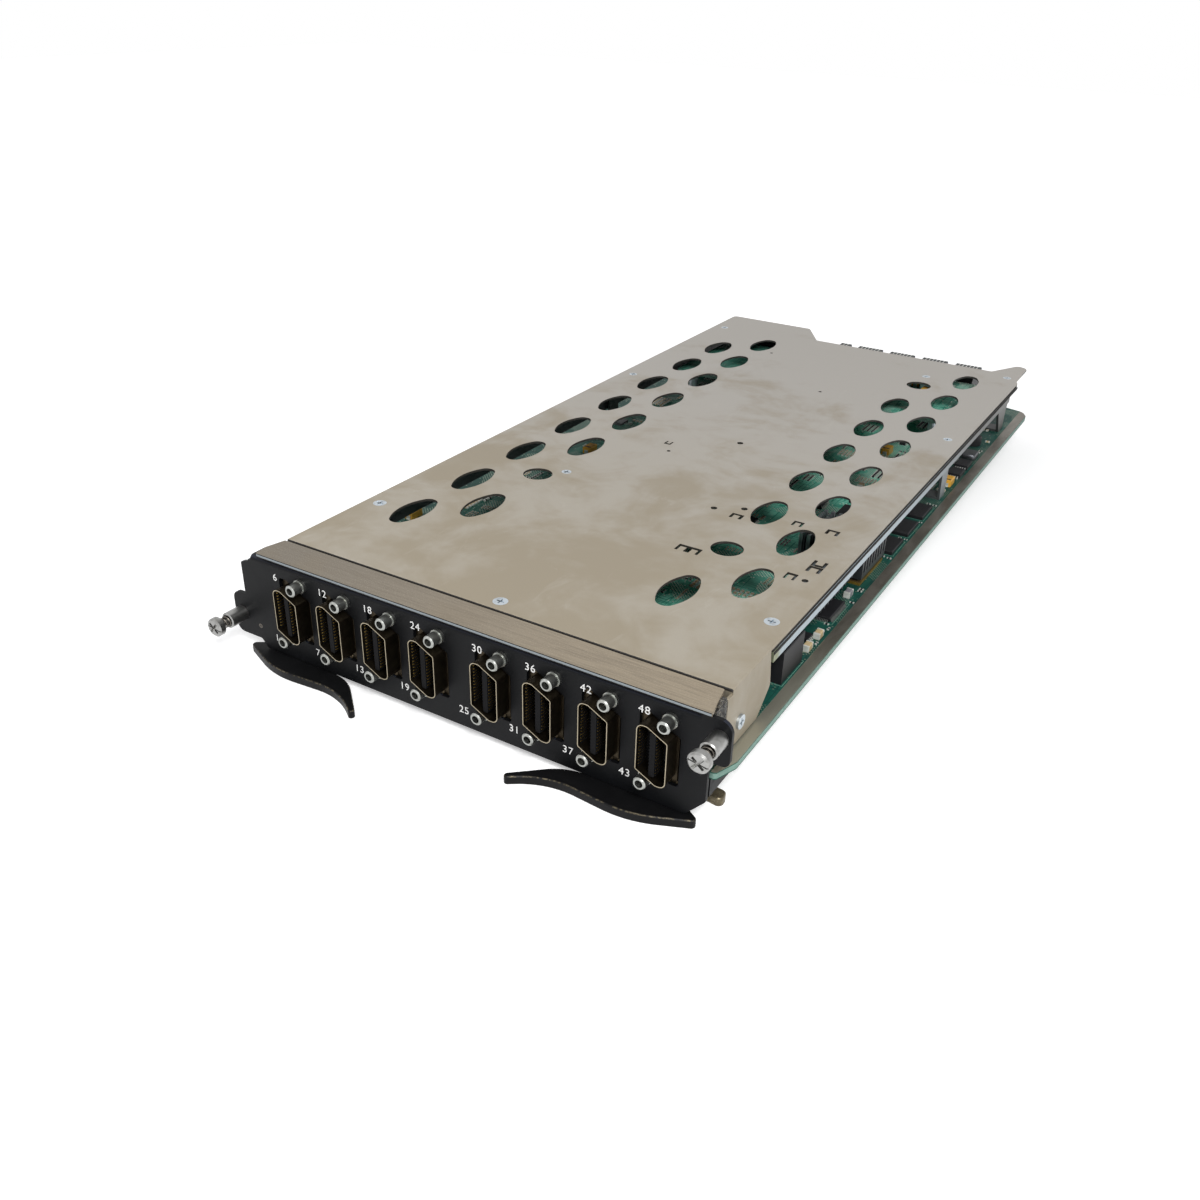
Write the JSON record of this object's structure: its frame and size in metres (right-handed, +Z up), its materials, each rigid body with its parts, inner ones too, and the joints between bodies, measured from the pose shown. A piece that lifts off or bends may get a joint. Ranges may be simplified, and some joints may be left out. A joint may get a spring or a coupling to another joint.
{
  "type": "switch line card",
  "caption": "Line card for a modular network switch: black faceplate with metal-shelled sockets, pierced sheet-metal cover, open board edges, ejector levers and captive screws.",
  "frame": {"origin": "middle of the card's outline, at the underside of the ejector levers", "axes": "+X along the faceplate, to the right seen from the front; +Y from the faceplate to the backplane end; +Z up, from the board to the cover"},
  "size_m": [0.216, 0.4328, 0.0465],
  "materials": {
    "asic_lid": "black with a gold rim",
    "backplane_plastic": "dark grey moulding",
    "black_plate": "satin black powder coat",
    "board_green": "green solder mask",
    "ceramic": "tan ceramic",
    "chip_black": "moulded black",
    "cover_steel": "passivated satin, cloudy",
    "gasket": "dark foam",
    "insert_plastic": "matt black moulding",
    "jack_nickel": "bright nickel",
    "lever_paint": "satin black, worn at the edges",
    "mesh_gasket": "dark conductive cloth",
    "nickel": "bright nickel",
    "rail_zinc": "pale blue zinc",
    "screw_steel": "bright zinc",
    "shell_metal": "warm nickel plate",
    "sink_aluminium": "dark anodised",
    "spring_wire": "dark spring wire",
    "tantalum": "moulded yellow",
    "tinned_strip": "brushed, warm grey"
  },
  "bodies": {
    "card": {"asic": "asic_lid", "backplane_connector_1": "backplane_plastic", "backplane_connector_2": "backplane_plastic", "backplane_connector_3": "backplane_plastic", "backplane_connector_4": "backplane_plastic", "backplane_connector_5": "backplane_plastic", "bus_chip": "chip_black", "ceramic_capacitors": "ceramic", "choke": "chip_black", "connector_insert_1": "insert_plastic", "connector_insert_2": "insert_plastic", "connector_insert_3": "insert_plastic", "connector_insert_4": "insert_plastic", "connector_insert_5": "insert_plastic", "connector_insert_6": "insert_plastic", "connector_insert_7": "insert_plastic", "connector_insert_8": "insert_plastic", "connector_shell_1": "shell_metal", "connector_shell_2": "shell_metal", "connector_shell_3": "shell_metal", "connector_shell_4": "shell_metal", "connector_shell_5": "shell_metal", "connector_shell_6": "shell_metal", "connector_shell_7": "shell_metal", "connector_shell_8": "shell_metal", "cover_gasket_left": "gasket", "cover_gasket_right": "gasket", "cover_screws": "screw_steel", "end_gasket": "mesh_gasket", "faceplate": "black_plate", "flange_screw": "screw_steel", "heat_sink_front": "sink_aluminium", "heat_sink_rear": "sink_aluminium", "jackscrews": "jack_nickel", "lever_pivots": "screw_steel", "logic_chips": "chip_black", "lower_bracket": "black_plate", "main_board": "board_green", "memory_chips": "chip_black", "phy_chips": "chip_black", "power_module": "chip_black", "screw_spring_left": "spring_wire", "screw_spring_right": "spring_wire", "side_rail_left": "rail_zinc", "side_rail_right": "rail_zinc", "sleeve_left": "nickel", "sleeve_right": "nickel", "standoffs": "screw_steel", "tantalum_capacitors": "tantalum", "top_bracket": "tinned_strip", "top_cover": "cover_steel", "top_gasket": "gasket", "rear_board": "board_green", "rear_board_posts": "screw_steel"},
    "left_lever": {"lever_left": "lever_paint"},
    "right_lever": {"lever_right": "lever_paint"},
    "left_screw": {"captive_screw_left": "nickel"},
    "right_screw": {"captive_screw_right": "nickel"}
  },
  "joints": [
    {"name": "left_lever_swing", "type": "hinge", "parent": "card", "child": "left_lever", "pos_m": [-0.089, -0.19223, 0.00175], "axis": [0, 0, -1], "range_deg": [0, 50]},
    {"name": "right_lever_swing", "type": "hinge", "parent": "card", "child": "right_lever", "pos_m": [0.087, -0.19223, 0.00175], "axis": [0, 0, 1], "range_deg": [0, 50]},
    {"name": "left_screw_push", "type": "slide", "parent": "card", "child": "left_screw", "axis": [0, 1, 0], "range_m": [0, 0.0034], "stiffness_N_per_m": 300, "springref_m": -0.004, "deforming": ["screw_spring_left"]},
    {"name": "right_screw_push", "type": "slide", "parent": "card", "child": "right_screw", "axis": [0, 1, 0], "range_m": [0, 0.0034], "stiffness_N_per_m": 300, "springref_m": -0.004, "deforming": ["screw_spring_right"]}
  ]
}
